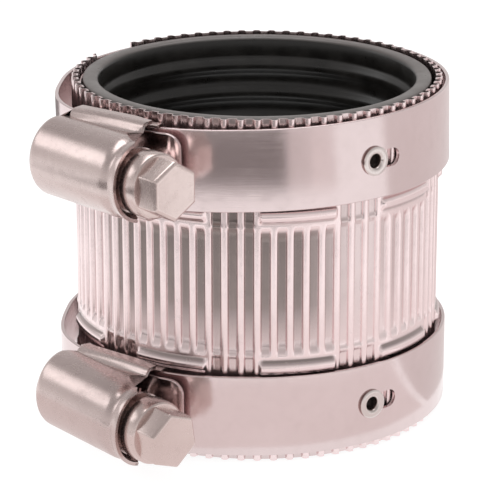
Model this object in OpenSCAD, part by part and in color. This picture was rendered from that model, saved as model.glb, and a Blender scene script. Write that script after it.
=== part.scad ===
// Hubless pipe coupling: a rubber sleeve inside a corrugated steel shield, held by two worm-drive band clamps.
// The origin is on the coupling's axis, in the plane of the lower rim. +Z runs along the pipe.
// The worm housings are on the -Y side. The screws lie near X, with their hex heads at +X and swung outward.

/* [Coupling] */
// Length of the shield from rim to rim
coupling_h = 54; // [53:0.5:56]
// Outside diameter of the pipes that the coupling joins
pipe_od = 48.26; // [48.1:0.01:48.3]

/* [Rubber sleeve] */
// Outer radius of the sleeve
sleeve_r = 27.5; // [27.2:0.1:27.5]
// Radius of the plain bore at the mouths and between the ribs
sleeve_bore_r = 25.0; // [24.8:0.1:25.3]
// Distance from one sealing rib to the next
rib_pitch = 4.7; // [4.2:0.1:5]
// Number of sealing ribs in each socket
rib_count = 3; // [2:1:3]
// Inner radius of the stop ring that the pipe ends meet
stop_r = 20.5; // [20:0.5:22]

/* [Shield] */
// Thickness of the shield's sheet
sheet_t = 0.25; // [0.2:0.05:0.25]
// Outer radius of the crests near the rims
rim_crest_r = 29.2; // [29:0.1:29.4]
// Outer radius of the crests between the clamps
mid_crest_r = 28.85; // [28.8:0.05:28.9]
// Depth of the corrugation near the rims
rim_depth = 0.8; // [0.7:0.05:0.8]
// Depth of the grooves between the clamps
groove_depth = 0.5; // [0.4:0.05:0.5]
// Length of the grooves between the clamps
groove_len = 20; // [15:0.5:20]
// How far the stiffening beads stand proud of the sheet
bead_proud = 0.62; // [0.4:0.02:0.7]

/* [Clamps] */
// Width of each band
band_w = 12.7; // [12:0.1:12.8]
// Thickness of each band
band_t = 0.6; // [0.5:0.05:0.6]
// Inner radius of each band's hoop
band_in_r = 30.2; // [30.1:0.1:30.4]
// Distance from the rim to the nearer edge of its band
band_inset = 1.2; // [1:0.1:1.4]
// Direction of the eyelets that hold the bands to the shield, in degrees from +X
eyelet_angle = 346; // [340:1:348]

/* [Worm screws] */
// Distance of the screws' axes from the middle of the hoops, where they are nearest to it
screw_axis_r = 36.5; // [36.4:0.1:36.6]
// How far the upper screw's head is swung outward from the band, in degrees
upper_yaw = 7.5; // [6:0.5:9]
// How far the lower screw's head is swung outward from the band, in degrees
lower_yaw = 9; // [6:0.5:9]
// How far the lower screw's head hangs below level, in degrees
lower_tilt = 2; // [0:0.5:2]
// Advance of the thread in one turn, which is also the pitch of the band's slots
lead = 3.175; // [3.1:0.025:3.2]
// Distance across the flats of the hex heads
hex_flats = 7.94; // [7.8:0.02:8]
// Turn of the upper hex head about the screw's axis, in degrees
upper_hex_turn = 0; // [0:5:30]
// Turn of the lower hex head about the screw's axis, in degrees
lower_hex_turn = 10; // [0:1:30]

/* [Hidden] */
$fn = 96;

// Heights of the two clamps' middles
lower_z = band_inset + band_w / 2;
upper_z = coupling_h - lower_z;

// Sleeve: it stops just short of the rims, and its ribs have short cylindrical lands that grip the pipe
sleeve_short = 0.25;
rib_land_r = pipe_od / 2 + 0.07;
rib_land = 0.8;
rib_flank = 1.1;
first_rib = 4.8;
stop_t = 2.4;
stop_taper = 0.5;
mouth_chamfer = 0.6;

// Shield: a crest every pitch, in panels of six crests and five grooves with two plain ribs between panels
pitch_a = 5;
panel_pitches = 8;
panel_grooves = 5;
panel_start = 310;
crest_half_a = 0.7;
flank_a = 0.7;
// The sheet starts with its outer flap and runs counter-clockwise; its last stretch is the tongue under the flap
flap_a = 195;
tongue_step_a = 550;
tongue_end_a = 597;
tongue_gap = 0.3;
// The tongue is narrower than the sheet, and its shoulders start before the flap's edge
shoulder_a = 536;
shoulder_h = 1.2;
// Depth below each rim of the change from rim corrugation to flat strip, which the band covers
rim_zone = 10;
bead_half_h = 1.0;
bead_from_rim = 15;

// The slack hoops rest against the shield on one side, so their middle is off the coupling's axis
hoop_mid = [-0.77, 0.35, 0];

// Bands: the fixed end steps up over the saddle, and the other side rises over the fixed end
fixed_from_a = 253;
fixed_flat_to_a = 285;
hoop_from_a = 310;
hoop_to_a = 575;
rise_end_a = 605;
outer_end_a = 613.5;
fixed_lift = 0.7;
outer_lift = 1.5;
ease_step_a = 3;
// The shaped ends are this much thinner on each side, so that they run into the hoop
end_thin = 0.05;

// Tail: the slotted end that the worm draws through the housing; its free end springs outward
tail_in_r = band_in_r + outer_lift;
tail_mid_r = tail_in_r + band_t / 2;
tail_w = band_w - 0.5;
// The tail starts this many degrees before the place where its screw is nearest to it
tail_back_a = 4.1;
tail_to_a = 291;
tail_spring_from_a = 270;
tail_spring = 1.4;
tail_corner = 2.2;
slot_a = lead / tail_mid_r * 180 / PI;
slot_last = 3;
slot_w = 1.9;
slot_len = 7;

// Eyelets and the slots that let the bands float round on them
eyelet_hole_r = 1.0;
eyelet_barrel_r = 1.25;
eyelet_flange_r = 2.3;
eyelet_clinch_r = 2.0;
eyelet_in_r = 27.8;
eyelet_clinch_t = 0.25;
eyelet_flange_t = 0.4;
float_gap = 0.1;
float_a = 6.9;
float_slot_r = 1.4;

// Worm screw, along its own axis from the place beside the middle of the housing
thread_tip_r = 4.65;
core_r = 3.1;
thread_root_half = 0.95;
thread_tip_half = 0.35;
thread_from_x = -7.6;
thread_to_x = 5;
thread_step_a = 15;
thread_runout_a = 60;
journal_r = 1.8;
neck_r = 3.2;
collar_r = 4.95;
collar_x = 11.1;
hex_x = 14.4;
screw_end_x = 18.2;
hex_chamfer = 0.5;
slant = atan(lead / (2 * PI * thread_tip_r));
// The lower housing's barrel sits this much above the middle of its band
lower_barrel_lift = 1.1;

// Housing: wings along the band, a barrel along the screw, and the saddle under them
housing_from_x = -9.4;
wing_to_x = 7;
barrel_to_x = 10.6;
barrel_skirt = 3.6;
housing_t = 0.6;
barrel_r = 5.6;
wing_z = 7.35;
wing_t = 0.5;
wing_low_r = 30.7;
wing_top_r = 33.2;
waist_r = 34.8;
mouth_r = 33.0;
journal_play = 0.05;
neck_play = 0.07;
saddle_t = 0.6;
saddle_flange_z = 6.75;
saddle_flange_t = 0.3;
saddle_top_r = 33.0;
saddle_from_a = 252;
saddle_to_a = 283.5;

function polar(r, a) = [r * cos(a), r * sin(a)];
function ease(t) = let (u = min(1, max(0, t))) u * u * (3 - 2 * u);

// ---- Shield ----

function is_groove(a) = ((a - panel_start + 3600) / pitch_a) % panel_pitches < panel_grooves;

// Points of one pitch, from the crest at angle a to the next, along one side of the sheet at crest radius r.
// side is 0 for the outer side and 1 for the inner side; flat pitches keep to the crest radius.
function pitch_points(a, r, depth, flat, side) =
    let (
        lean = atan2(depth, flank_a * PI / 180 * r),
        shift = side * sheet_t * tan(lean / 2) / r * 180 / PI,
        rs = r - side * sheet_t
    )
    flat ? [polar(rs, a + pitch_a / 2)] : [
        polar(rs, a + crest_half_a - shift),
        polar(rs - depth, a + crest_half_a + flank_a - shift),
        polar(rs - depth, a + pitch_a - crest_half_a - flank_a + shift),
        polar(rs, a + pitch_a - crest_half_a + shift)
    ];

function side_points(r, depth, strip, side) = [
    polar(r - side * sheet_t, flap_a - crest_half_a),
    for (a = [flap_a : pitch_a : tongue_step_a - pitch_a])
        each pitch_points(a, r, depth, strip && is_groove(a), side),
    polar(r - side * sheet_t, tongue_step_a + crest_half_a),
    for (a = [tongue_step_a + 2 : pitch_a : tongue_end_a])
        polar(sleeve_r + tongue_gap + (1 - side) * sheet_t, a)
];

function reversed(list) = [for (i = [len(list) - 1 : -1 : 0]) list[i]];

module sheet_layer(from_z, to_z, r, depth, strip) {
    translate([0, 0, from_z])
        linear_extrude(to_z - from_z)
            polygon(concat(side_points(r, depth, strip, 0), reversed(side_points(r, depth, strip, 1))));
}

// Ring that closes the step between two layers; it lies inside the sheet on both sides
module step_ring(z, crest_r) {
    low_r = mid_crest_r - groove_depth - sheet_t * 0.55;
    rotate([0, 0, flap_a - crest_half_a / 2])
        rotate_extrude(angle = tongue_step_a - flap_a + crest_half_a)
            translate([low_r, z - sheet_t / 2])
                square([crest_r - sheet_t / 2 - low_r, sheet_t]);
}

// Stiffening bead across one panel, in the flat strip beside the grooves
module bead(z, a) {
    root_r = mid_crest_r - sheet_t * 0.7;
    top_r = mid_crest_r + bead_proud;
    rotate([0, 0, a])
        rotate_extrude(angle = panel_grooves * pitch_a)
            polygon([
                [root_r, z - bead_half_h],
                [mid_crest_r + bead_proud / 2, z - bead_half_h * 0.75],
                [top_r, z - bead_half_h * 0.3],
                [top_r, z + bead_half_h * 0.3],
                [mid_crest_r + bead_proud / 2, z + bead_half_h * 0.75],
                [root_r, z + bead_half_h]
            ]);
}

module corrugated_shield() {
    mid_z = coupling_h / 2;
    groove_low = mid_z - groove_len / 2;
    groove_top = mid_z + groove_len / 2;
    color([0.80, 0.77, 0.75])
        difference() {
            union() {
                sheet_layer(0, rim_zone, rim_crest_r, rim_depth, false);
                sheet_layer(rim_zone, groove_low, mid_crest_r, groove_depth, true);
                sheet_layer(groove_low, groove_top, mid_crest_r, groove_depth, false);
                sheet_layer(groove_top, coupling_h - rim_zone, mid_crest_r, groove_depth, true);
                sheet_layer(coupling_h - rim_zone, coupling_h, rim_crest_r, rim_depth, false);
                step_ring(rim_zone, rim_crest_r);
                step_ring(groove_low, mid_crest_r);
                step_ring(groove_top, mid_crest_r);
                step_ring(coupling_h - rim_zone, rim_crest_r);
                for (a = [panel_start : panel_pitches * pitch_a : panel_start + 320])
                    for (z = [bead_from_rim, coupling_h - bead_from_rim])
                        bead(z, a);
            }
            tongue_shoulder(-1);
            tongue_shoulder(coupling_h - shoulder_h);
            eyelet_drill(lower_z);
            eyelet_drill(upper_z);
        }
}

// Cuts the rim away from the tongue; a slice before the flap's edge, and only the inner layer under the flap
module tongue_shoulder(z) {
    cut_h = shoulder_h + 1;
    translate([0, 0, z]) {
        rotate([0, 0, shoulder_a])
            rotate_extrude(angle = flap_a + 360 - crest_half_a - 0.6 - shoulder_a)
                translate([sleeve_r, 0])
                    square([rim_crest_r + 1 - sleeve_r, cut_h]);
        rotate([0, 0, shoulder_a])
            rotate_extrude(angle = tongue_end_a + 1 - shoulder_a)
                translate([sleeve_r, 0])
                    square([tongue_gap + sheet_t + 0.03, cut_h]);
    }
}

module eyelet_drill(z) {
    translate([0, 0, z])
        rotate([0, 90, eyelet_angle])
            translate([0, 0, sleeve_r])
                cylinder(r = eyelet_barrel_r + 0.1, h = 4);
}

// ---- Sleeve ----

// Bore profile of the lower socket, from its face up to the stop
function socket_profile() = [
    [sleeve_bore_r + mouth_chamfer, sleeve_short],
    [sleeve_bore_r, sleeve_short + mouth_chamfer],
    for (i = [0 : rib_count - 1])
        let (z = sleeve_short + first_rib + i * rib_pitch)
        each [
            [sleeve_bore_r, z - rib_land / 2 - rib_flank],
            [rib_land_r, z - rib_land / 2],
            [rib_land_r, z + rib_land / 2],
            [sleeve_bore_r, z + rib_land / 2 + rib_flank]
        ],
    [sleeve_bore_r, coupling_h / 2 - stop_t / 2 - stop_taper],
    [stop_r + stop_taper, coupling_h / 2 - stop_t / 2],
    [stop_r, coupling_h / 2 - stop_t / 2 + stop_taper]
];

module gasket_sleeve() {
    lower = socket_profile();
    upper = reversed([for (p = lower) [p[0], coupling_h - p[1]]]);
    color([0.12, 0.115, 0.115])
        rotate_extrude()
            polygon(concat(
                lower, upper,
                [[sleeve_r, coupling_h - sleeve_short], [sleeve_r, sleeve_short]]
            ));
}

// ---- Bands ----

function fixed_in_r(a) = band_in_r + fixed_lift * (1 - ease((a - fixed_flat_to_a) / (hoop_from_a - fixed_flat_to_a)));
function outer_in_r(a) = band_in_r + outer_lift * ease((a - hoop_to_a) / (rise_end_a - hoop_to_a));

module band(z) {
    fixed = [for (a = [fixed_from_a : ease_step_a : hoop_from_a + ease_step_a]) [fixed_in_r(a), a]];
    rise = [
        for (a = concat([for (b = [hoop_to_a - ease_step_a : ease_step_a : outer_end_a - 0.1]) b], [outer_end_a]))
            [outer_in_r(a), a]
    ];
    color([0.74, 0.69, 0.68])
        translate([0, 0, z])
            difference() {
                translate(hoop_mid) {
                    rotate([0, 0, hoop_from_a])
                        rotate_extrude(angle = hoop_to_a - hoop_from_a)
                            translate([band_in_r, -band_w / 2])
                                square([band_t, band_w]);
                    for (path = [fixed, rise])
                        translate([0, 0, -band_w / 2])
                            linear_extrude(band_w)
                                polygon(concat(
                                    [for (p = path) polar(p[0] + end_thin, p[1])],
                                    reversed([for (p = path) polar(p[0] + band_t - end_thin, p[1])])
                                ));
                }
                rotate([90, 0, eyelet_angle + float_a / 2 + 90])
                    translate([0, 0, band_in_r - 1])
                        linear_extrude(band_t + 2)
                            float_slot_outline();
            }
}

// Slot that lets the band float past its eyelet
module float_slot_outline() {
    reach = band_in_r * sin(float_a / 2);
    square([2 * reach, 2 * float_slot_r], center = true);
    for (x = [-reach, reach])
        translate([x, 0])
            circle(r = float_slot_r);
}

// The slots stand where the screw's thread is nearest to the band, and one slot pitch apart from there on
module tail_outline(yaw, tilt) {
    from_x = tail_mid_r * sin(-yaw - tail_back_a);
    to_x = tail_mid_r * sin(tail_to_a - 270);
    half = tail_w / 2;
    difference() {
        union() {
            translate([from_x, -half])
                square([to_x - tail_corner - from_x, tail_w]);
            translate([from_x, -half + tail_corner])
                square([to_x - from_x, tail_w - 2 * tail_corner]);
            for (y = [-half + tail_corner, half - tail_corner])
                translate([to_x - tail_corner, y])
                    circle(r = tail_corner);
        }
        for (k = [0 : slot_last])
            translate([tail_mid_r * sin(k * slot_a - yaw), 0])
                rotate(-slant - tilt)
                    square([slot_w, slot_len], center = true);
    }
}

function tail_r(a) = tail_in_r + tail_spring * ease((a - tail_spring_from_a) / (tail_to_a - tail_spring_from_a));

module band_tail(z, yaw, tilt) {
    from_a = 270 - yaw - tail_back_a;
    path = [for (a = [from_a - ease_step_a : ease_step_a / 2 : tail_to_a + ease_step_a]) a];
    color([0.76, 0.71, 0.69])
        translate(hoop_mid + [0, 0, z])
            intersection() {
                translate([0, 0, -band_w / 2])
                    linear_extrude(band_w)
                        polygon(concat(
                            [for (a = path) polar(tail_r(a), a)],
                            reversed([for (a = path) polar(tail_r(a) + band_t, a)])
                        ));
                translate([0, -tail_in_r + 6, 0])
                    rotate([90, 0, 0])
                        linear_extrude(12)
                            tail_outline(yaw, tilt);
            }
}

// ---- Housing and saddle ----

// Wings' half-open section: x is height, y is distance from the middle of the hoop
module wing_outline(z, top_r, half_waist, waist) {
    polygon([[-z, wing_low_r], [z, wing_low_r], [z, top_r], [half_waist, waist], [-half_waist, waist], [-z, top_r]]);
}

// Barrel's section: x is height beside the screw's axis, y is distance outward from it
module barrel_outline(r) {
    circle(r = r);
    translate([-r, -barrel_skirt])
        square([2 * r, barrel_skirt]);
}

// Lays a section drawn in (height, distance outward) along X between two places
module along_x(from_x, to_x) {
    translate([from_x, 0, 0])
        rotate([-90, 0, -90])
            mirror([1, 0, 0])
                rotate([0, 0, 90])
                    linear_extrude(to_x - from_x)
                        children();
}

// Puts what is drawn about +X onto a screw's axis, whose head end is swung outward and hangs down
module on_screw_axis(z, yaw, tilt, lift) {
    translate(hoop_mid + [0, 0, z + lift])
        rotate([0, 0, -yaw])
            translate([screw_axis_r * sin(yaw), -screw_axis_r, 0])
                rotate([0, tilt, 0])
                    children();
}

module housing(z, yaw, tilt, lift) {
    inner_r = barrel_r - housing_t;
    color([0.66, 0.63, 0.61])
        difference() {
            union() {
                translate(hoop_mid + [0, 0, z])
                    along_x(housing_from_x, wing_to_x)
                        wing_outline(wing_z, wing_top_r, barrel_r, waist_r);
                on_screw_axis(z, yaw, tilt, lift)
                    along_x(housing_from_x, barrel_to_x)
                        barrel_outline(barrel_r);
            }
            translate(hoop_mid + [0, 0, z]) {
                along_x(housing_from_x + housing_t, wing_to_x - housing_t)
                    wing_outline(wing_z - wing_t, wing_top_r - 0.2, inner_r, waist_r - 0.2);
                translate([housing_from_x - 2, -mouth_r, -wing_z + wing_t])
                    cube([barrel_to_x - housing_from_x + 4, mouth_r - wing_low_r + 2, 2 * (wing_z - wing_t)]);
            }
            on_screw_axis(z, yaw, tilt, lift) {
                along_x(housing_from_x + housing_t, barrel_to_x - housing_t)
                    barrel_outline(inner_r);
                rotate([0, 90, 0]) {
                    translate([0, 0, housing_from_x - 1])
                        cylinder(r = journal_r + journal_play, h = 4);
                    translate([0, 0, barrel_to_x - 2])
                        cylinder(r = neck_r + neck_play, h = 4);
                }
            }
        }
}

module saddle(z) {
    color([0.62, 0.59, 0.57])
        translate(hoop_mid + [0, 0, z])
            rotate([0, 0, saddle_from_a])
                rotate_extrude(angle = saddle_to_a - saddle_from_a)
                    polygon([
                        [band_in_r, -saddle_flange_z],
                        [saddle_top_r, -saddle_flange_z],
                        [saddle_top_r, -saddle_flange_z + saddle_flange_t],
                        [band_in_r + saddle_t, -saddle_flange_z + saddle_flange_t],
                        [band_in_r + saddle_t, saddle_flange_z - saddle_flange_t],
                        [saddle_top_r, saddle_flange_z - saddle_flange_t],
                        [saddle_top_r, saddle_flange_z],
                        [band_in_r, saddle_flange_z]
                    ]);
}

// ---- Worm screw ----

// Right-handed thread whose ridges face the band at whole leads from the middle
module worm_thread(shift) {
    first_a = (thread_from_x + shift) / lead * 360;
    last_a = (thread_to_x + shift) / lead * 360;
    rings = ceil((last_a - first_a) / thread_step_a);
    points = [
        for (i = [0 : rings])
            let (
                a = first_a + (last_a - first_a) * i / rings,
                runout = min(1, (a - first_a) / thread_runout_a, (last_a - a) / thread_runout_a),
                tip = core_r - 0.1 + (thread_tip_r - core_r + 0.1) * max(0.02, runout)
            )
            each [for (p = [[-thread_root_half, core_r - 0.2], [-thread_tip_half, tip],
                            [thread_tip_half, tip], [thread_root_half, core_r - 0.2]])
                [lead * a / 360 + p[0], p[1] * cos(a), p[1] * sin(a)]]
    ];
    sides = [
        for (i = [0 : rings - 1], j = [0 : 3])
            let (k = (j + 1) % 4, here = 4 * i, next = 4 * (i + 1))
            each [[next + k, next + j, here + j], [next + k, here + j, here + k]]
    ];
    end = 4 * rings;
    caps = [[3, 2, 1], [3, 1, 0], [end, end + 1, end + 2], [end, end + 2, end + 3]];
    polyhedron(points, concat(sides, caps));
}

module worm_screw(z, yaw, tilt, lift, hex_turn) {
    hex_r = hex_flats / 2 / cos(30);
    color([0.82, 0.79, 0.76])
        on_screw_axis(z, yaw, tilt, lift) {
            // Whole turns of the thread are counted from the place that is nearest to the band
            translate([-screw_axis_r * sin(yaw), 0, 0])
                worm_thread(screw_axis_r * sin(yaw));
            rotate([0, 90, 0])
                rotate_extrude()
                    polygon([
                        [0, housing_from_x + 0.3], [journal_r, housing_from_x + 0.3],
                        [journal_r, housing_from_x + 1], [core_r, housing_from_x + 1],
                        [core_r, barrel_to_x - 1.5], [neck_r, barrel_to_x - 0.9],
                        [neck_r, collar_x], [collar_r, collar_x],
                        [collar_r, hex_x], [0, hex_x]
                    ]);
            rotate([hex_turn, 0, 0])
                rotate([0, 90, 0])
                    intersection() {
                        translate([0, 0, hex_x - 1])
                            cylinder(r = hex_r, h = screw_end_x - hex_x + 1, $fn = 6);
                        rotate_extrude()
                            polygon([
                                [0, hex_x - 1], [hex_r + 0.1, hex_x - 1],
                                [hex_r + 0.1, screw_end_x - hex_chamfer],
                                [hex_r - 1.4 * hex_chamfer, screw_end_x], [0, screw_end_x]
                            ]);
                    }
        }
}

// ---- Eyelets ----

module eyelet(z) {
    flange_r = band_in_r + band_t + float_gap + hoop_mid * [cos(eyelet_angle), sin(eyelet_angle), 0];
    color([0.78, 0.74, 0.72])
        translate([0, 0, z])
            rotate([0, 90, eyelet_angle])
                rotate_extrude()
                    polygon([
                        [eyelet_hole_r, eyelet_in_r], [eyelet_clinch_r, eyelet_in_r],
                        [eyelet_clinch_r, eyelet_in_r + eyelet_clinch_t],
                        [eyelet_barrel_r, eyelet_in_r + eyelet_clinch_t],
                        [eyelet_barrel_r, flange_r], [eyelet_flange_r, flange_r],
                        [eyelet_flange_r, flange_r + eyelet_flange_t * 0.6],
                        [eyelet_flange_r - 0.3, flange_r + eyelet_flange_t],
                        [eyelet_hole_r + 0.3, flange_r + eyelet_flange_t],
                        [eyelet_hole_r, flange_r + eyelet_flange_t * 0.4]
                    ]);
}

module upper_band() band(upper_z);
module upper_band_tail() band_tail(upper_z, upper_yaw, 0);
module upper_housing() housing(upper_z, upper_yaw, 0, 0);
module upper_saddle() saddle(upper_z);
module upper_worm_screw() worm_screw(upper_z, upper_yaw, 0, 0, upper_hex_turn);
module upper_eyelet() eyelet(upper_z);
module lower_band() band(lower_z);
module lower_band_tail() band_tail(lower_z, lower_yaw, lower_tilt);
module lower_housing() housing(lower_z, lower_yaw, lower_tilt, lower_barrel_lift);
module lower_saddle() saddle(lower_z);
module lower_worm_screw() worm_screw(lower_z, lower_yaw, lower_tilt, lower_barrel_lift, lower_hex_turn);
module lower_eyelet() eyelet(lower_z);

corrugated_shield();
gasket_sleeve();
upper_band();
upper_band_tail();
upper_housing();
upper_saddle();
upper_worm_screw();
upper_eyelet();
lower_band();
lower_band_tail();
lower_housing();
lower_saddle();
lower_worm_screw();
lower_eyelet();
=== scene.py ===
"""Hubless pipe coupling: detailed visible meshes, materials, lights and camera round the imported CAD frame."""

import math

import bmesh
import bpy
import numpy as np
from mathutils import Matrix, Vector


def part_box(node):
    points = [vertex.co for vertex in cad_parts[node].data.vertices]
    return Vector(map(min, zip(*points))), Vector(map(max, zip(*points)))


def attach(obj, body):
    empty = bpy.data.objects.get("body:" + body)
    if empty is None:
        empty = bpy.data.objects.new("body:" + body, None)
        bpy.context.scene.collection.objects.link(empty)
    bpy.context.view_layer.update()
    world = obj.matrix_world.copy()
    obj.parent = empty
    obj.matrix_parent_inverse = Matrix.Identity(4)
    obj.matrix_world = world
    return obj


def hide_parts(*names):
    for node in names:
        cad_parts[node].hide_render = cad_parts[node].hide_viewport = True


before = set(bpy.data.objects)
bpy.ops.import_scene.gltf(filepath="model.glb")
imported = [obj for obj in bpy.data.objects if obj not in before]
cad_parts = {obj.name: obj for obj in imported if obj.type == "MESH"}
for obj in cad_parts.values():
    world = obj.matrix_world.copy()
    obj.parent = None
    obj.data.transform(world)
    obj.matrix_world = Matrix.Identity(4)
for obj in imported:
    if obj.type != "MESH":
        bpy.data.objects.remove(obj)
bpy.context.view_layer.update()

MM = 0.001
CLAMPS = ("upper", "lower")


# ---------------------------------------------------------------- sizes, in millimetres

def span(node):
    """Lowest and highest corner of a CAD node, in millimetres."""
    low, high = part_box(node)
    return [v / MM for v in low], [v / MM for v in high]


SHIELD_LOW, SHIELD_HIGH = span("corrugated_shield")
HEIGHT = SHIELD_HIGH[2] - SHIELD_LOW[2]
MID = HEIGHT / 2
CLAMP_Z = {c: sum(corner[2] for corner in span(c + "_band")) / 2 for c in CLAMPS}
BAND_W = span("upper_band")[1][2] - span("upper_band")[0][2]
HOOP_X, HOOP_Y = -0.77, 0.35
BAND_OUT_R = span("upper_band")[1][0] - HOOP_X
BAND_T = 0.6
BAND_EDGE_R = 0.16
BAND_IN_R = BAND_OUT_R - BAND_T
SLEEVE_R = span("gasket_sleeve")[1][0]
SLEEVE_LOW = span("gasket_sleeve")[0][2]
LEAD = 3.175

# The screws' axes: distance from the middle of the hoops, swing outward, droop, and lift of the barrel
SCREW_R = 36.5
YAW = {"upper": math.radians(7.5), "lower": math.radians(9.0)}
TILT = {"upper": 0.0, "lower": math.radians(2.0)}
BARREL_LIFT = {"upper": 0.0, "lower": 1.1}
# The slack upper hoop hangs a little low on its housing's side
HOOP_TILT = {"upper": math.radians(1.2), "lower": 0.0}
TILT_AXIS = Vector((0.643, -0.766, 0.0))

# Shield: crests every pitch, panels of five grooves with plain ribs between them
SHEET = 0.25
PITCH_A = 5.0
PANEL_PITCHES = 8
PANEL_GROOVES = 5
PANEL_START = 310.0
RIM_CREST_R = 29.2
MID_CREST_R = 28.85
RIM_DEPTH = 0.8
GROOVE_DEPTH = 0.55
RIM_ZONE = 10.0
GROOVE_HALF = 10.0
CREST_HALF_A = 0.8
FLANK_A = 0.62
DOME_SHARE = 0.16
PANEL_A = PANEL_GROOVES * PITCH_A
BEAD_OFF_MID = 12.0
BEAD_HALF = 1.0
BEAD_PROUD = 0.62
FLAP_A = 194.3
TONGUE_STEP_A = 550.7
TONGUE_END_A = 597.0
TONGUE_R = 27.97
SHOULDER_A = 536.0
SHOULDER_H = 1.2
# Painted shade on the inside face of the sheet, as a share of its darker colour
INSIDE_PAINTED_SHADE = 0.3

# Bands
FIXED_FROM_A = 253.0
FIXED_FLAT_TO_A = 285.0
HOOP_FROM_A = 310.0
HOOP_TO_A = 575.0
RISE_END_A = 605.0
OUTER_END_A = 613.5
FIXED_LIFT = 0.7
OUTER_LIFT = 1.5
TAIL_BACK_A = 4.1
TAIL_TO_A = 291.0
TAIL_SPRING_FROM_A = 270.0
TAIL_SPRING = 1.4
TAIL_CORNER = 2.2
TAIL_R = BAND_IN_R + OUTER_LIFT
TAIL_HALF_W = BAND_W / 2 - 0.25
EYELET_A = 346.0
EYELET_HOLE_R = 1.32
FLOAT_A = 6.9
FLOAT_SLOT_R = 1.4
SLOT_W = 1.9
SLOT_LEN = 7.0
TAIL_SLOTS = 4
SADDLE_TOP_R = 32.0
SADDLE_Z = 6.75
SADDLE_FROM_A = 252
SADDLE_TO_A = 283.5

# Worm housing and screw: places along X from the middle of the hoop, and along the screw's own axis
BARREL_R = 5.6
HOUSING_T = 0.55
HOUSING_LEFT = -9.4
WING_LEFT = -7.5
WING_RIGHT = 7.0
BARREL_END = 10.6
WING_Z = 7.1
THREAD_SPAN = (-7.6, 5.0)
THREAD_R = 4.65
CORE_R = 3.1
JOURNAL_R = 1.8
NECK_R = 3.2
COLLAR_R = 4.95
COLLAR_SPAN = (11.0, 14.4)
SCREW_END = 18.2
HEX_FLAT_R = 7.94 / 2
HEX_CORNER_R = 0.34
HEX_TURN = {"upper": 0.0, "lower": 10.0}


# ---------------------------------------------------------------- camera

CAMERA_AZIMUTH = math.radians(40.0)
CAMERA_ELEVATION = math.radians(17.83)
CAMERA_DISTANCE = 437.0
CAMERA_TARGET = Vector((-0.85, -0.71, 24.6))
CAMERA_LENS = 195.6


def toward(azimuth, elevation):
    """Unit vector toward an azimuth from the front, -Y, and an elevation, both in radians."""
    flat = math.cos(elevation)
    return Vector((math.sin(azimuth) * flat, -math.cos(azimuth) * flat, math.sin(elevation)))


def aim(obj, back, distance):
    """Puts a camera or light at a distance from the target, looking at it."""
    obj.location = (CAMERA_TARGET + back * distance) * MM
    obj.rotation_mode = "QUATERNION"
    obj.rotation_quaternion = (-back).to_track_quat("-Z", "Y")


def make_camera():
    data = bpy.data.cameras.new("camera")
    data.lens = CAMERA_LENS
    data.sensor_width = 36.0
    data.clip_start = 0.01
    data.clip_end = 10.0
    camera = bpy.data.objects.new("camera", data)
    bpy.context.collection.objects.link(camera)
    aim(camera, toward(CAMERA_AZIMUTH, CAMERA_ELEVATION), CAMERA_DISTANCE)
    bpy.context.scene.camera = camera


make_camera()


# ---------------------------------------------------------------- mesh tools

def smooth(t):
    """Smooth step from 0 to 1, for numbers or arrays."""
    t = np.clip(t, 0.0, 1.0)
    return t * t * (3 - 2 * t)


def polar(r, degrees):
    a = math.radians(degrees)
    return r * math.cos(a), r * math.sin(a)


def new_object(name, verts, faces, sharp=32.0, place=None, painted_shade_amounts=None):
    """Mesh object from points in millimetres, with outward normals and sharp edges marked by angle."""
    mesh = bpy.data.meshes.new(name)
    mesh.from_pydata([tuple(float(c) for c in v) for v in verts], [], faces)
    # Painted shade amounts, kept as a point attribute for the material
    if painted_shade_amounts is not None:
        mesh.attributes.new("painted_shade_amount", "FLOAT", "POINT").data.foreach_set("value", painted_shade_amounts)
    bm = bmesh.new()
    bm.from_mesh(mesh)
    bmesh.ops.remove_doubles(bm, verts=bm.verts, dist=1e-5)
    bmesh.ops.recalc_face_normals(bm, faces=bm.faces)
    bm.to_mesh(mesh)
    bm.free()
    mesh.transform(Matrix.Scale(MM, 4) @ (place or Matrix()))
    mesh.shade_smooth()
    mesh.set_sharp_from_angle(angle=math.radians(sharp))
    obj = bpy.data.objects.new(name, mesh)
    bpy.context.collection.objects.link(obj)
    return obj


def loft(rings, closed_path=False):
    """Vertices and faces of a skin over rings of equal length, each a closed loop.

    The ends are capped, unless the path of the rings is closed too.
    """
    count = len(rings[0])
    verts = [p for ring in rings for p in ring]
    faces = []
    steps = len(rings) if closed_path else len(rings) - 1
    for i in range(steps):
        here, there = i * count, (i + 1) % len(rings) * count
        for j in range(count):
            k = (j + 1) % count
            faces.append((here + j, here + k, there + k, there + j))
    if not closed_path:
        faces.append(tuple(reversed(range(count))))
        faces.append(tuple((len(rings) - 1) * count + j for j in range(count)))
    return verts, faces


def lathe(profile, segments=96, closed=True):
    """Rings of a (radius, height) profile turned about +Z; a closed profile makes a ring-shaped solid."""
    rings = []
    for s in range(segments):
        a = 2 * math.pi * s / segments
        rings.append([(r * math.cos(a), r * math.sin(a), h) for r, h in profile])
    if closed:
        return loft(rings, closed_path=True)
    by_height = [[ring[i] for ring in rings] for i in range(len(profile))]
    return loft(by_height)


def rounded(points, radius, steps=4):
    """Rounds the corners of a closed outline of (x, y) points; radius may be a list, one per corner."""
    out = []
    n = len(points)
    for i, p in enumerate(points):
        r = radius[i] if isinstance(radius, (list, tuple)) else radius
        p = Vector(p)
        before, after = Vector(points[i - 1]), Vector(points[(i + 1) % n])
        if r <= 0:
            out.append(tuple(p))
            continue
        d0, d1 = (before - p).normalized(), (after - p).normalized()
        half = math.acos(max(-1, min(1, d0.dot(d1)))) / 2
        cut = r / math.tan(half)
        a, b = p + d0 * cut, p + d1 * cut
        for k in range(steps + 1):
            t = k / steps
            q = a.lerp(p, t).lerp(p.lerp(b, t), t)
            out.append(tuple(q))
    return out


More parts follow.
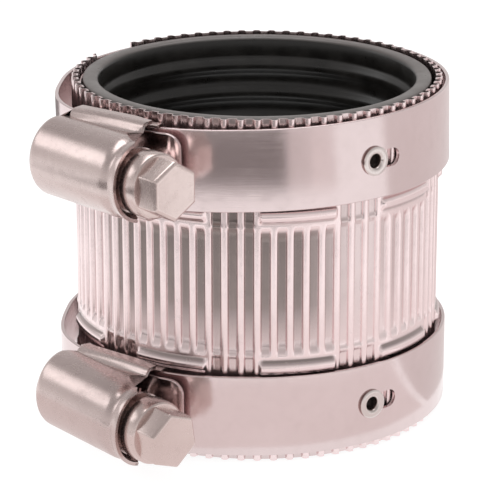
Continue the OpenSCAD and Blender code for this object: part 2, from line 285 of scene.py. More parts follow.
def join_parts(parts):
    """Joins (verts, faces) pairs into one pair."""
    verts, faces = [], []
    for v, f in parts:
        base = len(verts)
        verts += list(v)
        faces += [tuple(i + base for i in face) for face in f]
    return verts, faces


def cut(obj, cutter, sharp=32.0):
    """Cuts a closed mesh out of another and applies the result."""
    mod = obj.modifiers.new("cut", "BOOLEAN")
    mod.operation = "DIFFERENCE"
    mod.solver = "EXACT"
    mod.object = cutter
    graph = bpy.context.evaluated_depsgraph_get()
    mesh = bpy.data.meshes.new_from_object(obj.evaluated_get(graph))
    obj.modifiers.clear()
    old = obj.data
    obj.data = mesh
    bpy.data.meshes.remove(old)
    bpy.data.objects.remove(cutter)
    mesh.set_sharp_from_angle(angle=math.radians(sharp))


def level_place(clamp):
    """Level frame at the middle of a clamp's hoop, which is a little off the coupling's axis."""
    return Matrix.Translation((HOOP_X, HOOP_Y, CLAMP_Z[clamp]))


def hoop_place(clamp):
    """Frame of a clamp's hoop, housing and tail, tilted as the slack hoop is."""
    return level_place(clamp) @ Matrix.Rotation(HOOP_TILT[clamp], 4, TILT_AXIS)


def screw_place(clamp):
    """Frame of a worm screw: +Z along its axis toward the head, +Y toward the band."""
    sideways = Matrix.Translation((SCREW_R * math.sin(YAW[clamp]), -SCREW_R, BARREL_LIFT[clamp]))
    droop = Matrix.Rotation(TILT[clamp] + math.pi / 2, 4, "Y")
    return level_place(clamp) @ Matrix.Rotation(-YAW[clamp], 4, "Z") @ sideways @ droop


def band_uv(obj, z_mid):
    """UV in millimetres: u round the middle of the hoop, v up."""
    mesh = obj.data
    layer = mesh.uv_layers.new(name="wrap")
    for loop in mesh.loops:
        x, y, z = mesh.vertices[loop.vertex_index].co / MM
        a = math.degrees(math.atan2(y - HOOP_Y, x - HOOP_X)) % 360
        layer.data[loop.index].uv = (math.radians(a) * BAND_OUT_R, z - z_mid)


# ---------------------------------------------------------------- materials

def node_tree(name):
    material = bpy.data.materials.new(name)
    material.use_nodes = True
    nodes = material.node_tree.nodes
    return material, nodes, material.node_tree.links, nodes["Principled BSDF"]


def mapped(nodes, links, source, scale):
    coords = nodes.new("ShaderNodeTexCoord")
    mapping = nodes.new("ShaderNodeMapping")
    mapping.inputs["Scale"].default_value = scale
    links.new(coords.outputs[source], mapping.inputs["Vector"])
    return mapping.outputs["Vector"]


def noise(nodes, links, vector, detail, rough=0.55):
    tex = nodes.new("ShaderNodeTexNoise")
    tex.inputs["Scale"].default_value = 1.0
    tex.inputs["Detail"].default_value = detail
    tex.inputs["Roughness"].default_value = rough
    links.new(vector, tex.inputs["Vector"])
    return tex.outputs["Fac"]


def ranged(nodes, links, value, low, high, from_low=0.3, from_high=0.7):
    node = nodes.new("ShaderNodeMapRange")
    node.inputs["From Min"].default_value = from_low
    node.inputs["From Max"].default_value = from_high
    node.inputs["To Min"].default_value = low
    node.inputs["To Max"].default_value = high
    links.new(value, node.inputs["Value"])
    return node.outputs["Result"]


def mixed_colour(nodes, links, factor, a, b):
    """Mix from a, a colour or another node's output, to the colour b."""
    node = nodes.new("ShaderNodeMix")
    node.data_type = "RGBA"
    if isinstance(a, tuple):
        node.inputs["A"].default_value = (*a, 1)
    else:
        links.new(a, node.inputs["A"])
    node.inputs["B"].default_value = (*b, 1)
    links.new(factor, node.inputs["Factor"])
    return node.outputs["Result"]


def bump(nodes, links, height, strength, distance_mm):
    node = nodes.new("ShaderNodeBump")
    node.inputs["Strength"].default_value = strength
    node.inputs["Distance"].default_value = distance_mm * MM
    links.new(height, node.inputs["Height"])
    return node.outputs["Normal"]


# Share of the handling marks in the steels' colour; the rest is slow drift
STAIN = 0.35


def steel(name, bright, dull, rough, brush_source, brush_scale, brush_bump, painted_shade=None):
    """Stainless steel: fine brushing along one direction, slow colour drift and faint handling marks.

    The optional darker colour is painted shade, laid on by the mesh's own painted shade amount.
    """
    material, nodes, links, shader = node_tree(name)
    shader.inputs["Metallic"].default_value = 1.0
    brush = noise(nodes, links, mapped(nodes, links, brush_source, brush_scale), detail=5.0, rough=0.7)
    drift = noise(nodes, links, mapped(nodes, links, "Object", (90, 90, 90)), detail=2.0)
    marks = noise(nodes, links, mapped(nodes, links, "Object", (520, 520, 520)), detail=6.0, rough=0.65)
    blend = nodes.new("ShaderNodeMath")
    blend.operation = "MULTIPLY_ADD"
    links.new(ranged(nodes, links, drift, 0, 1), blend.inputs[0])
    blend.inputs[1].default_value = 1 - STAIN
    links.new(ranged(nodes, links, marks, 0, STAIN, 0.45, 0.75), blend.inputs[2])
    colour = mixed_colour(nodes, links, blend.outputs[0], bright, dull)
    # Painted shade: the darker colour is mixed in by the mesh's painted shade amount
    if painted_shade is not None:
        painted_shade_amount = nodes.new("ShaderNodeAttribute")
        painted_shade_amount.attribute_name = "painted_shade_amount"
        colour = mixed_colour(nodes, links, painted_shade_amount.outputs["Fac"], colour, painted_shade)
    links.new(colour, shader.inputs["Base Color"])
    spread = nodes.new("ShaderNodeMath")
    links.new(ranged(nodes, links, brush, rough - 0.04, rough + 0.05), spread.inputs[0])
    links.new(ranged(nodes, links, marks, 0.0, 0.07, 0.5, 0.8), spread.inputs[1])
    links.new(spread.outputs[0], shader.inputs["Roughness"])
    links.new(bump(nodes, links, brush, brush_bump, 0.02), shader.inputs["Normal"])
    return material


def rubber():
    """Satin black rubber, paler and duller grey on both end faces."""
    material, nodes, links, shader = node_tree("moulded_rubber")
    fine = noise(nodes, links, mapped(nodes, links, "Object", (2600, 2600, 2600)), detail=3.0)
    dust = noise(nodes, links, mapped(nodes, links, "Object", (260, 260, 260)), detail=5.0, rough=0.6)
    coords = nodes.new("ShaderNodeTexCoord")
    parts = nodes.new("ShaderNodeSeparateXYZ")
    links.new(coords.outputs["Object"], parts.inputs[0])
    middle = nodes.new("ShaderNodeMath")
    middle.operation = "SUBTRACT"
    links.new(parts.outputs["Z"], middle.inputs[0])
    middle.inputs[1].default_value = MID * MM
    off = nodes.new("ShaderNodeMath")
    off.operation = "ABSOLUTE"
    links.new(middle.outputs[0], off.inputs[0])
    ends = ranged(nodes, links, off.outputs[0], 0, 1, (MID - 0.75) * MM, (MID - 0.35) * MM)
    black = mixed_colour(nodes, links, ranged(nodes, links, dust, 0, 1, 0.4, 0.7),
                         (0.010, 0.009, 0.008), (0.020, 0.018, 0.016))
    colour = mixed_colour(nodes, links, ends, black, (0.115, 0.10, 0.095))
    links.new(colour, shader.inputs["Base Color"])
    links.new(ranged(nodes, links, dust, 0.26, 0.42), shader.inputs["Roughness"])
    links.new(bump(nodes, links, fine, 0.2, 0.03), shader.inputs["Normal"])
    return material


# The shield's last colour is painted shade, for its grooves, bead creases and inside
SHIELD_STEEL = steel("shield_sheet", (0.91, 0.765, 0.765), (0.85, 0.71, 0.71), 0.22,
                     "Object", (900, 900, 60), 0.10, painted_shade=(0.26, 0.215, 0.205))
BAND_STEEL = steel("band_strip", (0.74, 0.62, 0.62), (0.68, 0.565, 0.56), 0.15,
                   "UV", (0.05, 9.0, 1), 0.20)
HOUSING_STEEL = steel("housing_sheet", (0.66, 0.55, 0.53), (0.55, 0.45, 0.435), 0.25,
                      "Object", (300, 900, 900), 0.12)
SCREW_STEEL = steel("screw_metal", (0.72, 0.60, 0.575), (0.62, 0.51, 0.485), 0.24,
                    "Object", (1400, 700, 700), 0.16)
EYELET_STEEL = steel("eyelet_metal", (0.72, 0.65, 0.63), (0.64, 0.57, 0.55), 0.18,
                     "Object", (900, 900, 900), 0.10)
RUBBER = rubber()


def finish_piece(obj, material, body, slot_name, *nodes):
    obj.data.materials.clear()
    obj.data.materials.append(material)
    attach(obj, body)
    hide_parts(*nodes)


# ---------------------------------------------------------------- shield

def pitch_samples():
    """Places inside one pitch, closer together on the flanks."""
    half = [0.0, 0.25, 0.5, 0.8, 0.92, 1.05, 1.17, 1.3, 1.42, 1.8, 2.5]
    return half + [PITCH_A - h for h in reversed(half[1:-1])]


def shield_columns():
    angles = [FLAP_A, FLAP_A + 0.3]
    a = PITCH_A * math.floor(FLAP_A / PITCH_A) + PITCH_A
    while a < TONGUE_STEP_A:
        angles += [a + s for s in pitch_samples()]
        a += PITCH_A
    angles = [v for v in angles if v < TONGUE_STEP_A]
    angles += [TONGUE_STEP_A + s for s in (0.0, 0.3, 0.6, 0.9, 1.3)]
    steps = 24
    start = TONGUE_STEP_A + 1.3
    angles += [start + (TONGUE_END_A - start) * (i + 1) / steps for i in range(steps)]
    extra = [SHOULDER_A - 0.02, SHOULDER_A + 0.02]
    return np.array(sorted(set(angles + extra)))


def shield_rows():
    below = [0, 0.35, 1.2, 3.0, 6.0, 9.2, 9.6, 10.0, 10.4, 10.8, 12.6, 13.6, 13.9, 14.2, 14.55, 15.0, 15.45,
             15.8, 16.1, 16.35, 16.55, 16.75, 16.95, 17.15, 17.4, 17.75, 18.3, 19.2, 21.5, 24.5]
    return np.array(below + [MID] + [HEIGHT - z for z in reversed(below)])


def off_crest(a):
    """Degrees from the nearest crest."""
    return abs((a + PITCH_A / 2) % PITCH_A - PITCH_A / 2)


def along_panel(a):
    """Degrees from the start of the panel that a is in, or of the last one before it."""
    return (a - PANEL_START) % (PANEL_PITCHES * PITCH_A)


def groove_amount(a):
    """0 on a crest, 1 in a valley, with a slightly domed crest and rounded flanks."""
    off = off_crest(a)
    flank = smooth((off - CREST_HALF_A) / FLANK_A)
    dome = min(1.0, (off / CREST_HALF_A) ** 2)
    return (1 - DOME_SHARE) * flank + DOME_SHARE * dome


def shield_radius(a, z):
    """Outer radius of the sheet at path angle a and height z."""
    along = along_panel(a)
    off_mid = abs(z - MID)
    rim = smooth((off_mid - (MID - RIM_ZONE) + 0.4) / 0.8)
    middle = 1 - smooth((off_mid - GROOVE_HALF + 1.3) / 1.6)
    pinch = 0.45 * np.exp(-((off_mid - GROOVE_HALF - 0.2) / 0.45) ** 2)
    cut_share = max(rim, middle) if along < PANEL_A else 1.0 - pinch
    depth = RIM_DEPTH * rim + GROOVE_DEPTH * (1 - rim)
    crest = RIM_CREST_R * rim + MID_CREST_R * (1 - rim)
    r = crest - depth * cut_share * groove_amount(a)
    ends = smooth((along - 0.1) / 1.3) * smooth((PANEL_A - 0.1 - along) / 1.3)
    rise = max(0.0, 1 - ((off_mid - BEAD_OFF_MID) / BEAD_HALF) ** 2)
    return r + BEAD_PROUD * smooth(rise * 1.3) * ends


def groove_painted_shade(a, z):
    """How much painted shade darkens the sheet, from 0 to 1.

    The painted shade is darkest in the grooves at the front, toward the camera, and toward the top. It also paints
    dark lines of shade in the creases beside the beads.
    """
    along, up = along_panel(a), z - MID
    # Painted shade is strongest on the side that faces the camera
    front = smooth((a % 360 - 250) / 14) * (1 - smooth((a % 360 - 322) / 22))
    height = 0.3 + 0.7 * smooth((z - 17) / 9) if z < HEIGHT - RIM_ZONE - 1 else 0.5
    in_groove = smooth((off_crest(a) - 1.1) / 0.35)
    reach = 1.0
    if along < PANEL_A and abs(up) < MID - RIM_ZONE:
        reach = 1 - smooth((abs(up) - GROOVE_HALF + 0.9) / 0.8)
    groove = in_groove * height * reach * (0.3 + 0.7 * front)
    # Painted lines of shade in the creases beside the beads
    crease = BEAD_OFF_MID - BEAD_HALF
    beside = math.exp(-((up + crease) / 0.3) ** 2) + 0.6 * math.exp(-((up - crease) / 0.3) ** 2)
    ends = smooth((along - 0.8) / 1.2) * smooth((PANEL_A - 0.8 - along) / 1.2)
    return float(min(1.0, groove + beside * ends))


def eyelet_place(clamp):
    """Frame of an eyelet: +Z outward from the coupling's axis."""
    turn = Matrix.Rotation(math.radians(EYELET_A), 4, "Z") @ Matrix.Rotation(math.radians(90), 4, "Y")
    return Matrix.Translation((0, 0, CLAMP_Z[clamp])) @ turn


def make_shield():
    columns, rows = shield_columns(), shield_rows()
    outer, inner, painted_shade_amounts = [], [], []
    for a in columns:
        step = smooth((a - TONGUE_STEP_A) / 1.3)
        low = SHOULDER_H if a > SHOULDER_A else 0.0
        x, y = math.cos(math.radians(a)), math.sin(math.radians(a))
        for z in rows:
            r = shield_radius(a, z) * (1 - step) + TONGUE_R * step
            edge = min(z, HEIGHT - z)
            shift = low * max(0.0, 1 - edge / 3.0)
            zz = z + (shift if z < MID else -shift)
            outer.append((r * x, r * y, zz))
            # Painted shade for this point of the outer face
            painted_shade_amounts.append(groove_painted_shade(a, z))
            inner.append(((r - SHEET) * x, (r - SHEET) * y, zz))
    nc, nr = len(columns), len(rows)
    total = nc * nr
    faces = []
    for i in range(nc - 1):
        for j in range(nr - 1):
            p = i * nr + j
            faces.append((p, p + nr, p + nr + 1, p + 1))
            faces.append((total + p, total + p + 1, total + p + nr + 1, total + p + nr))
    for i in range(nc - 1):
        for j in (0, nr - 1):
            p = i * nr + j
            faces.append((p, total + p, total + p + nr, p + nr))
    for i in (0, nc - 1):
        for j in range(nr - 1):
            p = i * nr + j
            faces.append((p, p + 1, total + p + 1, total + p))
    # The inside face gets an even painted shade
    obj = new_object("shield_sheet_formed", outer + inner, faces, sharp=50, painted_shade_amounts=painted_shade_amounts + [INSIDE_PAINTED_SHADE] * total)
    for clamp in CLAMPS:
        verts, faces = lathe([(EYELET_HOLE_R, 26.0), (EYELET_HOLE_R, 31.0)], segments=32, closed=False)
        cut(obj, new_object("eyelet_drill", verts, faces, place=eyelet_place(clamp)), sharp=50)
    finish_piece(obj, SHIELD_STEEL, "shield", "shield_steel", "corrugated_shield")


make_shield()


# ---------------------------------------------------------------- sleeve

def socket_points():
    """Bore of one socket from its face to the stop, as (radius, depth below the rim)."""
    mouth_r, crest_r, root_r = 24.95, 24.2, 25.1
    points = [(mouth_r + 0.75, SLEEVE_LOW), (mouth_r + 0.25, SLEEVE_LOW + 0.18), (mouth_r, SLEEVE_LOW + 0.7),
              (mouth_r, SLEEVE_LOW + 2.9)]
    for rib in range(3):
        crest = SLEEVE_LOW + 4.8 + rib * 4.7
        for off, share in ((-1.55, 0.08), (-1.2, 0.35), (-0.7, 0.82), (-0.35, 0.98), (0.35, 0.98), (0.7, 0.82),
                           (1.2, 0.3), (1.6, 0.06)):
            points.append((root_r + (crest_r - root_r) * share, crest + off))
        points.append((root_r, crest + 2.35))
    stop = MID - 1.2
    points += [(root_r, stop - 0.9), (root_r - 0.2, stop - 0.3), (root_r - 0.9, stop), (21.2, stop),
               (20.7, stop + 0.2), (20.5, stop + 0.6)]
    return points


def make_sleeve():
    lower = socket_points()
    upper = [(r, HEIGHT - d) for r, d in reversed(lower)]
    outside = [(SLEEVE_R - 0.35, HEIGHT - SLEEVE_LOW), (SLEEVE_R - 0.1, HEIGHT - SLEEVE_LOW - 0.1),
               (SLEEVE_R, HEIGHT - SLEEVE_LOW - 0.35), (SLEEVE_R, SLEEVE_LOW + 0.35),
               (SLEEVE_R - 0.1, SLEEVE_LOW + 0.1), (SLEEVE_R - 0.35, SLEEVE_LOW)]
    verts, faces = lathe(lower + upper + outside, segments=180)
    obj = new_object("rubber_sleeve_moulded", verts, faces, sharp=60)
    finish_piece(obj, RUBBER, "gasket", "black_rubber", "gasket_sleeve")


make_sleeve()


# ---------------------------------------------------------------- bands, tails and saddles

def strip_section(half_w):
    """Rounded section of a strip: (radial offset, height) with the inner face at 0."""
    return rounded([(0, -half_w), (BAND_T, -half_w), (BAND_T, half_w), (0, half_w)], BAND_EDGE_R)


def fixed_radius(a):
    return BAND_IN_R + FIXED_LIFT * (1 - smooth((a - FIXED_FLAT_TO_A) / (HOOP_FROM_A - FIXED_FLAT_TO_A)))


def rise_radius(a):
    return BAND_IN_R + OUTER_LIFT * smooth((a - HOOP_TO_A) / (RISE_END_A - HOOP_TO_A))


def make_band(clamp):
    section = strip_section(BAND_W / 2)
    rings = []
    for a in np.linspace(FIXED_FROM_A, OUTER_END_A, 362):
        base = fixed_radius(a) if a < HOOP_FROM_A else rise_radius(a)
        rings.append([(*polar(base + d, a), h) for d, h in section])
    verts, faces = loft(rings)
    obj = new_object(clamp + "_band_strip", verts, faces, place=hoop_place(clamp))
    reach = BAND_IN_R * math.sin(math.radians(FLOAT_A / 2))
    steps = 16
    outline = [(reach + FLOAT_SLOT_R * math.sin(math.pi * k / steps), FLOAT_SLOT_R * math.cos(math.pi * k / steps))
               for k in range(steps + 1)]
    outline += [(-x, -y) for x, y in outline]
    turn = Matrix.Rotation(math.radians(EYELET_A + FLOAT_A / 2), 4, "Z")
    verts, faces = loft([[(r, x, y) for x, y in outline] for r in (BAND_IN_R - 2, BAND_OUT_R + 1)])
    cut(obj, new_object("slot_cutter", verts, faces, place=Matrix.Translation((0, 0, CLAMP_Z[clamp])) @ turn))
    band_uv(obj, CLAMP_Z[clamp])
    finish_piece(obj, BAND_STEEL, clamp + "_clamp", "band_steel", clamp + "_band")


def tail_radius(a):
    """Inner radius of the slotted end, which springs outward under the housing and past it."""
    return TAIL_R + TAIL_SPRING * smooth((a - TAIL_SPRING_FROM_A) / (TAIL_TO_A - TAIL_SPRING_FROM_A))


def make_tail(clamp):
    nearest_a = 270 - math.degrees(YAW[clamp])
    first = nearest_a - TAIL_BACK_A
    last = TAIL_TO_A - math.degrees(TAIL_CORNER / TAIL_R)
    angles = list(np.arange(first, last, 1.0))
    corner_steps = 12
    angles += [last + (TAIL_TO_A - last) * math.sin(math.pi / 2 * k / corner_steps) for k in range(corner_steps + 1)]
    rings = []
    for a in angles:
        past = max(0.0, TAIL_CORNER - TAIL_R * math.radians(TAIL_TO_A - a))
        half = TAIL_HALF_W - TAIL_CORNER + math.sqrt(max(0.0, TAIL_CORNER ** 2 - past ** 2))
        rings.append([(*polar(tail_radius(a) + d, a), h) for d, h in strip_section(half)])
    verts, faces = loft(rings)
    obj = new_object(clamp + "_band_tail_strip", verts, faces, place=hoop_place(clamp))
    slot_step_a = math.degrees(LEAD / (TAIL_R + BAND_T / 2))
    slant = math.atan(LEAD / (2 * math.pi * THREAD_R)) + TILT[clamp]
    hole = rounded([(-SLOT_W / 2, -SLOT_LEN / 2), (SLOT_W / 2, -SLOT_LEN / 2), (SLOT_W / 2, SLOT_LEN / 2),
                    (-SLOT_W / 2, SLOT_LEN / 2)], 0.4, steps=3)
    for k in range(TAIL_SLOTS):
        turn = Matrix.Rotation(math.radians(nearest_a + k * slot_step_a), 4, "Z") @ Matrix.Rotation(-slant, 4, "X")
        verts, faces = loft([[(r, x, y) for x, y in hole] for r in (TAIL_R - 1, TAIL_R + 3)])
        cut(obj, new_object("hole_cutter", verts, faces, place=hoop_place(clamp) @ turn))
    band_uv(obj, CLAMP_Z[clamp])
    finish_piece(obj, BAND_STEEL, clamp + "_tail", "band_steel", clamp + "_band_tail")


def make_saddle(clamp):
    low, high = BAND_IN_R, SADDLE_TOP_R
    out, inn = SADDLE_Z, SADDLE_Z - 0.3
    outline = [(low, -out), (high, -out), (high, -inn), (low + BAND_T, -inn),
               (low + BAND_T, inn), (high, inn), (high, out), (low, out)]
    section = rounded(outline, [0.35, 0.12, 0.12, 0.2, 0.2, 0.12, 0.12, 0.35], steps=4)
    rings = [[(*polar(r, a), h) for r, h in section] for a in np.linspace(SADDLE_FROM_A, SADDLE_TO_A, 33)]
    verts, faces = loft(rings)
    obj = new_object(clamp + "_saddle_pressed", verts, faces, place=hoop_place(clamp))
    finish_piece(obj, HOUSING_STEEL, clamp + "_clamp", "housing_steel", clamp + "_saddle")


# ---------------------------------------------------------------- worm housing

BARREL_POINTS = 20
FOLD_POINTS = 9
# Where the barrel's round ends and the fold begins, as an angle below the level of its axis
FOOT_T = -0.28
# How far the right edge is notched in the fold, how much the wing dips midway, and how deep the fold is
NOTCH = 1.9
WING_DIP = 0.2
SHOULDER_DIP = 0.3
WING_CORNER = 0.3
WING_SHOULDER = 33.5
WING_EDGE = 31.2
WING_EDGE_RISE = 0.6
FOLD_IN, FOLD_IN_DIP = 0.75, 0.35
FOLD_OUT, FOLD_OUT_DIP = 33.9, 0.5
# Round the wing's outer corner: how far below its top, and how far toward the axis from its shoulder
WING_POINTS = ((0.3, 0.0), (0.14, 0.16), (0.04, 0.36), (0.0, 0.62), (0.0, 1.0))


def axis_at(clamp, x):
    """Distance of the screw's axis from the middle of the hoop, its height, and the place along it, at x."""
    along = (x + SCREW_R * math.sin(YAW[clamp])) / math.cos(YAW[clamp])
    place = along - SCREW_R * math.sin(YAW[clamp])
    distance = along * math.sin(YAW[clamp]) + SCREW_R * math.cos(YAW[clamp])
    hoop_drop = HOOP_TILT[clamp] * (TILT_AXIS.x * distance + TILT_AXIS.y * x)
    return distance, BARREL_LIFT[clamp] - place * math.sin(TILT[clamp]) + hoop_drop, place


def barrel_radius(place):
    """Radius of the pressed barrel: rounded over at the closed end, necked and flared at the open one."""
    closed = min(1.0, (place - HOUSING_LEFT) / 0.9)
    radius = BARREL_R - 0.55 * (1 - math.sqrt(max(0.0, 1 - (1 - closed) ** 2)))
    neck = math.exp(-((BARREL_END - 1.75 - place) / 0.75) ** 2)
    return radius - 0.35 * neck + 0.02 * smooth((place - BARREL_END + 1.0) / 1.0)


def cover_points(clamp, share, side):
    """One half of the cover's outline, as (x, distance, height), at a share of the way along it.

    It runs from the front of the barrel over its top, through the fold and round the wing's edge. The barrel
    reaches further along than the wings, so each point has its own x.
    """
    points = []
    dip = 1 - (2 * share - 1) ** 2
    shoulder = Vector((WING_Z - WING_CORNER - WING_DIP * dip, WING_SHOULDER - SHOULDER_DIP * dip))
    for k in range(BARREL_POINTS + FOLD_POINTS + len(WING_POINTS) + 1):
        t = math.pi / 2 + (FOOT_T - math.pi / 2) * min(1.0, k / (BARREL_POINTS - 1))
        fold = min(1.0, max(0.0, (k - BARREL_POINTS + 1) / FOLD_POINTS))
        long_share = float(smooth((t + 0.32) / 0.55))
        right = WING_RIGHT - NOTCH * math.sin(math.pi * min(1.0, 0.35 + 0.75 * fold)) ** 2
        right += (BARREL_END - 0.15 - right) * long_share
        left = WING_LEFT + (HOUSING_LEFT - WING_LEFT) * long_share
        x = left + (right - left) * share
        distance, lift, place = axis_at(clamp, x)
        radius = barrel_radius(place)
        if k < BARREL_POINTS:
            points.append((x, distance + radius * math.sin(t), lift + side * radius * math.cos(t)))
        elif k < BARREL_POINTS + FOLD_POINTS:
            foot = Vector((lift * side + radius * math.cos(FOOT_T), distance + radius * math.sin(FOOT_T)))
            valley = Vector((foot.x - FOLD_IN - FOLD_IN_DIP * dip, FOLD_OUT + FOLD_OUT_DIP * dip))
            q = foot.lerp(valley, fold).lerp(valley.lerp(shoulder, fold), fold)
            points.append((x, q.y, side * q.x))
        elif k < BARREL_POINTS + FOLD_POINTS + len(WING_POINTS):
            below, inward = WING_POINTS[k - BARREL_POINTS - FOLD_POINTS]
            drop = below + WING_DIP * dip * below / WING_CORNER
            points.append((x, shoulder.y - inward, side * (WING_Z - drop)))
        else:
            rise = WING_EDGE_RISE * float(smooth((share - 0.7) / 0.3))
            points.append((x, WING_EDGE + rise, side * WING_Z))
    return points


def thickened(outline, thickness):
    """Closed section from an open outline of (x, distance, height) and a copy moved outward by a thickness."""
    outside = []
    for i, (x, v, h) in enumerate(outline):
        a, b = outline[max(0, i - 1)], outline[min(len(outline) - 1, i + 1)]
        d = Vector((b[1] - a[1], b[2] - a[2])).normalized()
        outside.append((x, v + d.y * thickness, h - d.x * thickness))
    return [(x, -v, h) for x, v, h in outline + outside[::-1]]


# Shares of the way along the cover at which it has a section, closer together at its ends
COVER_SHARES = (0, 0.008, 0.02, 0.04, 0.065, 0.1, *np.linspace(0.16, 0.76, 9), 0.8, 0.83, 0.86, 0.885, 0.91, 0.93,
                0.95, 0.97, 0.985, 0.995, 1.0)
# Plates in the barrel's ends: place, thickness, hole, rim, and how far they reach toward the band
END_PLATES = ((HOUSING_LEFT + 0.05, 0.5, JOURNAL_R + 0.05, 5.1, 2.5),
              (BARREL_END - 1.5, 0.6, NECK_R + 0.07, 4.9, 4.6))


def make_housing(clamp):
    rings = []
    for share in COVER_SHARES:
        low = cover_points(clamp, share, -1)
        outline = low[::-1] + cover_points(clamp, share, 1)[1:]
        rings.append(thickened(outline, HOUSING_T))
    skin = loft(rings)
    obj = new_object(clamp + "_housing_pressed", *skin, sharp=40, place=hoop_place(clamp))
    plates = []
    for at, thick, hole, rim, clear in END_PLATES:
        rings = []
        for s in range(72):
            t = 2 * math.pi * s / 72
            reach = min(rim, clear / math.sin(t)) if math.sin(t) > 0.01 else rim
            section = [(hole, at), (reach, at), (reach, at + thick), (hole, at + thick)]
            rings.append([(r * math.cos(t), r * math.sin(t), h) for r, h in section])
        plates.append(loft(rings, closed_path=True))
    ends = new_object("housing_ends", *join_parts(plates), sharp=40, place=screw_place(clamp))
    with bpy.context.temp_override(active_object=obj, selected_editable_objects=[obj, ends]):
        bpy.ops.object.join()
    finish_piece(obj, HOUSING_STEEL, clamp + "_clamp", "housing_steel", clamp + "_housing")


# ---------------------------------------------------------------- worm screws and eyelets

def thread_parts(clamp):
    """Right-handed thread as a swept tooth, whose turns count from the place nearest the band."""
    start, end = THREAD_SPAN
    nearest = -SCREW_R * math.sin(YAW[clamp])
    steps = 170
    runout = 0.6
    rings = []
    for i in range(steps + 1):
        h = start + (end - start) * i / steps
        a = 2 * math.pi * (h - nearest) / LEAD
        turns_in = min(1.0, (h - start) / runout, (end - h) / runout)
        tip = CORE_R + (THREAD_R - CORE_R) * max(0.03, turns_in)
        tooth = [(-0.95, CORE_R - 0.2), (-0.42, tip - 0.15), (-0.28, tip), (0.28, tip), (0.42, tip - 0.15),
                 (0.95, CORE_R - 0.2)]
        c, s = math.cos(a), math.sin(a)
        rings.append([(-r * s, r * c, h + dh) for dh, r in tooth])
    return loft(rings)


def hexagon(flat_r):
    """Hexagon outline with rounded corners, one corner at +X."""
    points = [polar(flat_r / math.cos(math.radians(30)), 60 * k) for k in range(6)]
    return rounded(points, HEX_CORNER_R, steps=5)


def make_screw(clamp):
    c0, c1 = COLLAR_SPAN
    profile = [(0.6, -9.1), (JOURNAL_R - 0.3, -9.1), (JOURNAL_R, -8.8), (JOURNAL_R, -8.4), (2.6, -8.4),
               (CORE_R, -8.1), (CORE_R, 9.1), (NECK_R, 9.7), (NECK_R, c0), (COLLAR_R - 0.4, c0 + 0.02),
               (COLLAR_R - 0.12, c0 + 0.12), (COLLAR_R, c0 + 0.4), (COLLAR_R, c1 - 0.5), (COLLAR_R - 0.08, c1 - 0.25),
               (COLLAR_R - 0.3, c1 - 0.06), (COLLAR_R - 0.6, c1), (3.6, c1), (0.6, c1)]
    body = lathe(profile, segments=96, closed=False)
    end = SCREW_END
    rings = []
    stages = ((c1 - 0.6, 0.0), (end - 0.5, 0.0), (end - 0.38, 0.03), (end - 0.24, 0.12), (end - 0.1, 0.27),
              (end - 0.02, 0.45), (end, 0.6), (end - 0.03, 0.8))
    for x, shrink in stages:
        rings.append([(px, py, x) for px, py in hexagon(HEX_FLAT_R - shrink)])
    head = loft(rings)
    turn = Matrix.Rotation(math.radians(HEX_TURN[clamp]), 4, "Z")
    head = ([turn @ Vector(v) for v in head[0]], head[1])
    verts, faces = join_parts([body, thread_parts(clamp), head])
    obj = new_object(clamp + "_worm_screw_turned", verts, faces, sharp=28, place=screw_place(clamp))
    finish_piece(obj, SCREW_STEEL, clamp + "_screw", "screw_steel", clamp + "_worm_screw")


def make_eyelet(clamp):
    a = math.radians(EYELET_A)
    flange = BAND_OUT_R + 0.1 + HOOP_X * math.cos(a) + HOOP_Y * math.sin(a)
    profile = [(1.0, 27.8), (2.0, 27.8), (2.0, 28.05), (1.25, 28.05), (1.25, flange), (2.15, flange),
               (2.28, flange + 0.1), (2.27, flange + 0.25), (2.1, flange + 0.36), (1.8, flange + 0.4),
               (1.45, flange + 0.38), (1.2, flange + 0.25), (1.05, flange + 0.05), (1.0, flange - 0.2)]
    verts, faces = lathe(profile, segments=64)
    obj = new_object(clamp + "_eyelet_clinched", verts, faces, sharp=50, place=eyelet_place(clamp))
    finish_piece(obj, EYELET_STEEL, "shield", "eyelet_steel", clamp + "_eyelet")


for clamp_name in CLAMPS:
    make_band(clamp_name)
    make_tail(clamp_name)
    make_saddle(clamp_name)
    make_housing(clamp_name)
    make_screw(clamp_name)
    make_eyelet(clamp_name)


# ---------------------------------------------------------------- floor, light and reflections

def flat_surface(name, verts, faces, base, rough, specular, glow, strength):
    """Flat surface of the set, with its own matt, partly self-lit material."""
    mesh = bpy.data.meshes.new(name)
    mesh.from_pydata(verts, [], faces)
    surface = bpy.data.objects.new(name, mesh)
    bpy.context.collection.objects.link(surface)
    material, _, _, shader = node_tree(name + "_surface")
    shader.inputs["Base Color"].default_value = (base, base, base, 1)
    shader.inputs["Roughness"].default_value = rough
    shader.inputs["Specular IOR Level"].default_value = specular
    shader.inputs["Emission Color"].default_value = (*glow, 1)
    shader.inputs["Emission Strength"].default_value = strength
    mesh.materials.append(material)
    return surface


def make_floor():
    size = 3.0
    verts = [(-size, -size, 0), (size, -size, 0), (size, size, 0), (-size, size, 0)]
    floor = flat_surface("floor", verts, [(0, 1, 2, 3)], 0.25, 0.9, 0.1, (1, 1, 1), 0.9)


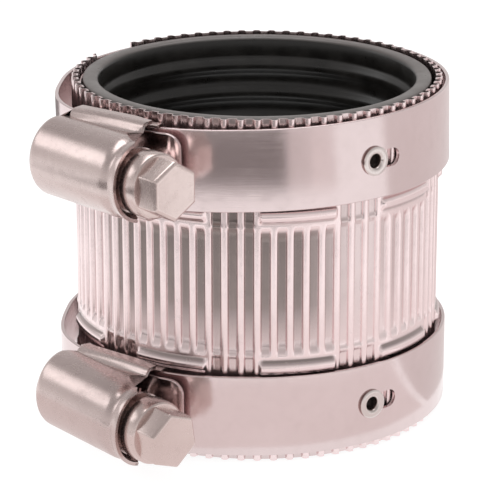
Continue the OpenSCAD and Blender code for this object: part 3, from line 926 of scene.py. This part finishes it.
def make_world():
    """Bright near the horizon and duller overhead, so that the metal has something to show."""
    world = bpy.data.worlds.new("studio")
    bpy.context.scene.world = world
    world.use_nodes = True
    nodes, links = world.node_tree.nodes, world.node_tree.links
    coords = nodes.new("ShaderNodeTexCoord")
    parts = nodes.new("ShaderNodeSeparateXYZ")
    links.new(coords.outputs["Generated"], parts.inputs[0])
    height = ranged(nodes, links, parts.outputs["Z"], 0, 1, 0.05, 0.6)
    colour = mixed_colour(nodes, links, height, (0.88, 0.86, 0.85), (0.50, 0.485, 0.48))
    links.new(colour, nodes["Background"].inputs["Color"])


CARD_Z = 0.4


def area_light(name, azimuth, elevation, distance, size, power):
    """Softbox facing the target; angles in degrees, sizes in millimetres."""
    data = bpy.data.lights.new(name, "AREA")
    data.shape = "RECTANGLE"
    data.size, data.size_y = size[0] * MM, size[1] * MM
    data.energy = power
    light = bpy.data.objects.new(name, data)
    bpy.context.collection.objects.link(light)
    aim(light, toward(math.radians(azimuth), math.radians(elevation)), distance)


def floor_card(name, radii, azimuths, shade):
    """Shaded sector just above the floor, out of the camera's sight and seen only in the metal."""
    verts, steps = [], 24
    for k in range(steps + 1):
        a = math.radians(azimuths[0] + (azimuths[1] - azimuths[0]) * k / steps)
        verts += [(math.sin(a) * r * MM, -math.cos(a) * r * MM, CARD_Z * MM) for r in radii]
    faces = [(2 * k, 2 * k + 1, 2 * k + 3, 2 * k + 2) for k in range(steps)]
    card = flat_surface(name, verts, faces, 0, 1.0, 0.0, (1, 0.93, 0.92), shade)
    card.visible_camera = False
    card.visible_diffuse = False
    card.visible_shadow = False


make_floor()
make_world()
area_light("left_softbox", azimuth=-64, elevation=31, distance=500, size=(280, 170), power=0.17)
area_light("top_softbox", azimuth=200, elevation=76, distance=520, size=(480, 480), power=1.5)
# Radii and azimuths of each sector, and how bright it is
for card_name, card_radii, card_azimuths, card_shade in (
        ("near_floor", (34, 92), (-46, 112), 0.93),
        ("front_floor", (146, 700), (-46, 57), 0.26),
        ("front_floor_edge", (146, 700), (57, 70), 0.75),
        ("front_floor_side", (146, 700), (70, 84), 0.9),
        ("right_floor", (34, 700), (116, 205), 0.82),
        ("back_floor", (100, 700), (205, 262), 0.3)):
    floor_card(card_name, card_radii, card_azimuths, card_shade)

bpy.context.scene.view_settings.view_transform = "Standard"
